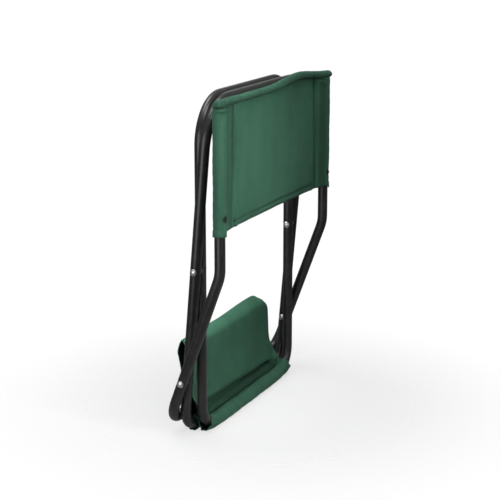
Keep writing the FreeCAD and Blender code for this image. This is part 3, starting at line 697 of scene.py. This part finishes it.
def seat_half(name, middle, edge, front):
    """Half of the folded seat cloth, from its bar up to the crease, with hemmed sides."""
    rows = 96
    xs = np.concatenate([np.linspace(-SEAT_HALF, -0.124, 18)[:-1], np.linspace(-0.124, 0.124, 61),
                         np.linspace(0.124, SEAT_HALF, 18)[1:]])
    centre_line = spline(np.array(middle) / 1000, rows)
    edge_line = spline(np.array(edge) / 1000, rows)
    grid = np.zeros((rows, len(xs), 3))
    t = np.linspace(0, 1, rows)
    free = smooth(t, 0.16, 0.34) * (1 - smooth(t, 0.94, 1.0))
    way = -1.0 if front else 1.0
    for c, x in enumerate(xs):
        # how much of the hem's line a column follows, low down and over the top of the fold
        low_share = float(smooth(abs(x), 0.130, SEAT_HALF))
        top_share = float(smooth(abs(x), 0.105, SEAT_HALF)) ** 1.5
        share = low_share + (top_share - low_share) * smooth(t, 0.55, 0.85)
        line = centre_line + (edge_line - centre_line) * share[:, None]
        ripple = (0.0008 * math.sin(x * 74 + 0.6) + 0.0006 * np.sin(x * 43 + t * 5.5)
                  + 0.0004 * np.sin(x * 150 + t * 9 + 1.0))
        hem = 0.0005 * float(smooth(abs(x), SEAT_HEM - 0.0005, SEAT_HEM + 0.0005))
        # the ridge rises a little to the right, and the right corner droops
        rise = RIDGE_LIFT * float(smooth(x, -0.03, 0.08) * (1 - smooth(x, 0.100, 0.130)))
        droop = CORNER_DROOP * float(smooth(x, 0.112, 0.158))
        grid[:, c, 0] = x
        grid[:, c, 1] = line[:, 0] + (ripple * (1 - 0.6 * low_share) + way * hem) * free
        grid[:, c, 2] = line[:, 1] + (rise - droop) * smooth(t, 0.72, 1.0)
        if front:
            foot = bump(line[:, 1], 0.033, 0.012) * smooth(t, 0.17, 0.26) * (1 - low_share)
            grid[:, c, 2] -= BASE_TILT * x * foot
    # the inner face takes the near-black proofing, painted shade inside the fold
    piece = cloth(name, grid, green, thickness=SEAT_CLOTH, flip=not front, inside=shade_proofing)
    return piece, grid


def bar_path(half, bar, lean, reach, count=121):
    """Centreline of a seat bar and its rounded corners, as far as the sleeve covers it."""
    straight = half - SEAT_CORNER
    xs = np.linspace(-reach, reach, count)
    points = np.zeros((count, 3))
    for i, x in enumerate(xs):
        over = max(abs(x) - straight, 0.0)
        rise = SEAT_CORNER - math.sqrt(max(SEAT_CORNER**2 - over**2, 0.0))
        points[i] = (x, bar[0] - rise * math.sin(lean), bar[1] + rise * math.cos(lean))
    return points


def seat_sleeve(name, half, bar, lean, front):
    """Cloth sleeve of a seat bar: snug, with slack at the front, and puckered round the corners."""
    path = bar_path(half, bar, lean, SLEEVE_REACH)
    sides = 40
    tangents = np.gradient(path, axis=0)
    tangents /= np.linalg.norm(tangents, axis=1)[:, None]
    turns = np.linspace(0, 2 * math.pi, sides + 1)
    under = 1 - smooth(np.sin(turns), -0.3, 0.5)
    slack = 0.0022 * bump(turns, math.radians(215), 0.75) if front else 0.0006
    grid = np.zeros((len(path), sides + 1, 3))
    for i, (middle, along) in enumerate(zip(path, tangents)):
        x = middle[0]
        up = np.cross(along, [0.0, 1.0, 0.0])
        up /= np.linalg.norm(up)
        out = np.cross(up, along)
        ease = 1 - float(smooth(abs(x), 0.100, 0.142))
        flare = 0.0012 * float(smooth(abs(x), 0.140, SLEEVE_REACH)) ** 2 * under
        pucker = 0.00070 * np.sin(7 * turns + x * 60) + 0.00045 * np.sin(11 * turns - x * 140)
        pucker *= float(smooth(abs(x), 0.112, 0.134))
        wave = 0.00022 * np.sin(x * 95 + 2 * turns) + 0.00015 * np.sin(x * 260 - turns)
        radius = WRAP + slack * ease - 0.0004 * (1 - ease) + flare + pucker + wave
        radius = np.maximum(radius, TUBE + 1.5 * CLEAR + CLOTH / 2)
        ring = middle + np.outer(np.cos(turns) * radius, out) + np.outer(np.sin(turns) * radius, up)
        # the ends hang straight on below the rising bar
        ring[:, 2] -= 0.80 * (middle[2] - bar[1]) * (0.5 - 0.5 * np.sin(turns))
        ring[:, 2] = np.maximum(ring[:, 2], CLOTH / 2 + CLEAR)
        grid[i] = ring
    grid[:, -1] = grid[:, 0]
    uv = flat_lengths(grid).reshape(-1, 2)
    piece = new_piece(name, grid.reshape(-1, 3), grid_faces(len(path), sides + 1), green, uv)
    weld = piece.modifiers.new("Weld", "WELD")
    weld.merge_threshold = 0.00001
    # the inner face takes the near-black proofing, painted shade inside the sleeve
    piece.data.materials.append(shade_proofing)
    solid = piece.modifiers.new("Thickness", "SOLIDIFY")
    solid.thickness, solid.offset, solid.material_offset = CLOTH, 0.0, 1
    return apply_modifiers(piece)


seat_front, front_grid = seat_half("seat_cloth_front", FRONT_MIDDLE, FRONT_EDGE, True)
seat_rear, rear_grid = seat_half("seat_cloth_rear", REAR_MIDDLE, REAR_EDGE, False)
sleeve_front = seat_sleeve("seat_bar_sleeve_front", INNER_HALF, INNER_BAR, 0.0, True)
sleeve_rear = seat_sleeve("seat_bar_sleeve_rear", OUTER_HALF, OUTER_BAR, OUTER_LEAN, False)


def seat_stitching(name, grid, front):
    """Thread along both side hems of a half of the seat cloth."""
    way = -1.0 if front else 1.0
    runs = []
    for side in (-1, 1):
        column = int(np.argmin(np.abs(grid[0, :, 0] - side * SEAT_HEM)))
        points = grid[8:-3, column]
        tangent = np.gradient(points, axis=0)
        normal = np.cross(tangent, [1.0, 0, 0])
        normal /= np.linalg.norm(normal, axis=1)[:, None]
        normal *= np.sign(normal[:, 1] * way)[:, None]
        runs.append((points + normal * (SEAT_CLOTH / 2 + CLEAR), normal))
    return stitches(name, runs, thread)


thread_front = seat_stitching("seat_stitching_front", front_grid, True)
thread_rear = seat_stitching("seat_stitching_rear", rear_grid, False)


def seat_ways(bar):
    """The way along the seat from its bar to the crease, and the way square to it."""
    run = CREASE - bar
    run = run / np.linalg.norm(run)
    return run, np.array([-run[1], run[0]])


def fold_flat(piece, body):
    """The piece turns with its body, on a mesh of its own."""
    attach(piece, body)
    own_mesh(piece)


def crease_gusset():
    """A short strip of the seat cloth inside the fold, at the right end of the crease.

    It lies hidden below the drooping corner and slides out over the crease as the legs open.
    """
    run, square = seat_ways(OUTER_BAR)
    xs = np.linspace(GUSSET_FROM, SEAT_HALF - 0.0004, 14)
    wave = (0.0004 + 0.0002 * np.sin(xs * 300))[:, None]
    grid = np.array([np.column_stack([xs, CREASE + run * s + square * wave])
                     for s in np.linspace(*GUSSET_EDGES, 16)])
    # its inner face takes the near-black proofing, painted shade
    piece = cloth("crease_gusset", grid, green, thickness=SEAT_CLOTH / 2, flip=True,
                  inside=shade_proofing)
    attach(piece, "seat_rear")
    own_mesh(piece)
    return piece


gusset = crease_gusset()
fold_flat(seat_front, "seat_front")
fold_flat(thread_front, "seat_front")
fold_flat(seat_rear, "seat_rear")
fold_flat(thread_rear, "seat_rear")
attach(sleeve_front, "inner_legs")
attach(sleeve_rear, "outer_legs")
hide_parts("seat_panel_front")
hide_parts("seat_panel_rear")
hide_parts("seat_sleeve_front")
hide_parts("seat_sleeve_rear")


# ---------------------------------------------------------------- stage, light and camera

# the floor: its half size, how much of it shows under the chair, and where that fades out
FLOOR_HALF, FLOOR_SHARE, FLOOR_FADE = 1.5, 0.38, (0.10, 0.55)
# the fill's strength over this range of the sky, from low to high
FILL_SKY, FILL_STRENGTH = (-0.4, 0.8), (0.08, 0.25)
BACKDROP_STRENGTH = 1.02


def add_floor():
    """A pale, mostly clear floor: it takes the chair's shadow and fades out into the backdrop."""
    n = Nodes("pale_floor")
    where = n.place()
    n.surface(Base_Color=n.mix(n.noise(where, 3.0), (0.92, 0.92, 0.92, 1), (0.94, 0.94, 0.94, 1)),
              Roughness=n.ramp(n.noise(where, 12.0), 0.3, 0.7, 0.55, 0.65), Specular_IOR_Level=0.2)
    clear = n.add("BsdfTransparent")
    flat = n.add("SeparateXYZ", Vector=where).outputs
    radius = n.math("SQRT", n.math("ADD", n.times(flat[0], flat[0]), n.times(flat[1], flat[1])))
    veil = n.add("MixShader", Fac=n.ramp(radius, *FLOOR_FADE, FLOOR_SHARE, 0.0))
    n.tree.links.new(clear.outputs[0], veil.inputs[1])
    n.tree.links.new(n.shader.outputs[0], veil.inputs[2])
    n.tree.links.new(veil.outputs[0], n.tree.nodes["Material Output"].inputs["Surface"])
    corners = [(x * FLOOR_HALF, y * FLOOR_HALF, 0)
               for x, y in ((-1, -1), (1, -1), (1, 1), (-1, 1))]
    floor = new_piece("floor", corners, [(0, 1, 2, 3)], n.material, shade=False)


def add_world():
    """A white backdrop for the camera and a dim, cool fill for everything else."""
    world = bpy.data.worlds.new("studio")
    world.use_nodes = True
    tree = world.node_tree
    seen = tree.nodes["Background"]
    seen.inputs["Color"].default_value = (1, 1, 1, 1)
    seen.inputs["Strength"].default_value = BACKDROP_STRENGTH
    fill = tree.nodes.new("ShaderNodeBackground")
    fill.inputs["Color"].default_value = (0.96, 0.98, 1, 1)
    # brighter overhead than from the sides and below
    way = tree.nodes.new("ShaderNodeTexCoord")
    parts = tree.nodes.new("ShaderNodeSeparateXYZ")
    level = tree.nodes.new("ShaderNodeMapRange")
    limits = (*FILL_SKY, *FILL_STRENGTH)
    for key, value in zip(("From Min", "From Max", "To Min", "To Max"), limits):
        level.inputs[key].default_value = value
    tree.links.new(way.outputs["Generated"], parts.inputs[0])
    tree.links.new(parts.outputs["Z"], level.inputs["Value"])
    tree.links.new(level.outputs[0], fill.inputs["Strength"])
    ray = tree.nodes.new("ShaderNodeLightPath")
    pick = tree.nodes.new("ShaderNodeMixShader")
    tree.links.new(ray.outputs["Is Camera Ray"], pick.inputs[0])
    tree.links.new(fill.outputs[0], pick.inputs[1])
    tree.links.new(seen.outputs[0], pick.inputs[2])
    tree.links.new(pick.outputs[0], tree.nodes["World Output"].inputs["Surface"])
    bpy.context.scene.world = world


def add_softbox(name, place, aim, width, height, power, spread=180.0):
    """A white rectangular lamp of some watts at place, turned to aim."""
    light = bpy.data.lights.new(name, "AREA")
    light.spread = math.radians(spread)
    light.shape, light.size, light.size_y = "RECTANGLE", width, height
    light.energy = power
    lamp = bpy.data.objects.new(name, light)
    lamp.location = place
    lamp.rotation_mode = "QUATERNION"
    lamp.rotation_quaternion = (Vector(aim) - Vector(place)).to_track_quat("-Z", "Y")
    bpy.context.scene.collection.objects.link(lamp)


AZIMUTH, ELEVATION, DISTANCE = math.radians(-65.37), math.radians(13.97), 2.164
TARGET, SENSOR, LENS = Vector((-0.0172, -0.0065, 0.2563)), 36.0, 99.8


def add_camera():
    """A long lens in front of the chair, well round to its left and a little above it."""
    level = math.cos(ELEVATION)
    back_way = Vector((math.sin(AZIMUTH) * level, -math.cos(AZIMUTH) * level, math.sin(ELEVATION)))
    data = bpy.data.cameras.new("camera")
    data.sensor_width, data.lens = SENSOR, LENS
    data.clip_start, data.clip_end = 0.05, 50.0
    camera = bpy.data.objects.new("camera", data)
    camera.location = TARGET + back_way * DISTANCE
    camera.rotation_mode = "QUATERNION"
    camera.rotation_quaternion = (-back_way).to_track_quat("-Z", "Y")
    bpy.context.scene.collection.objects.link(camera)
    bpy.context.scene.camera = camera


add_floor()
add_world()
add_softbox("front_softbox", (-0.45, -1.55, 0.95), (-0.13, -0.04, 0.35), 0.25, 0.70, 0.50,
            spread=21)
add_softbox("overhead_softbox", (-0.40, -0.45, 1.50), (-0.03, 0, 0.30), 0.5, 0.5, 4.7)
add_softbox("left_softbox", (-1.20, 0.12, 0.42), (0, 0, 0.28), 0.8, 0.9, 4.6)
add_softbox("right_rear_softbox", (1.10, 0.55, 0.80), (0, 0, 0.40), 0.35, 0.9, 0.4)
add_softbox("top_softbox", (-0.05, 0.40, 1.45), (-0.02, 0.04, 0.25), 0.9, 0.5, 6.0)
add_camera()
bpy.context.scene.view_settings.view_transform = "Standard"
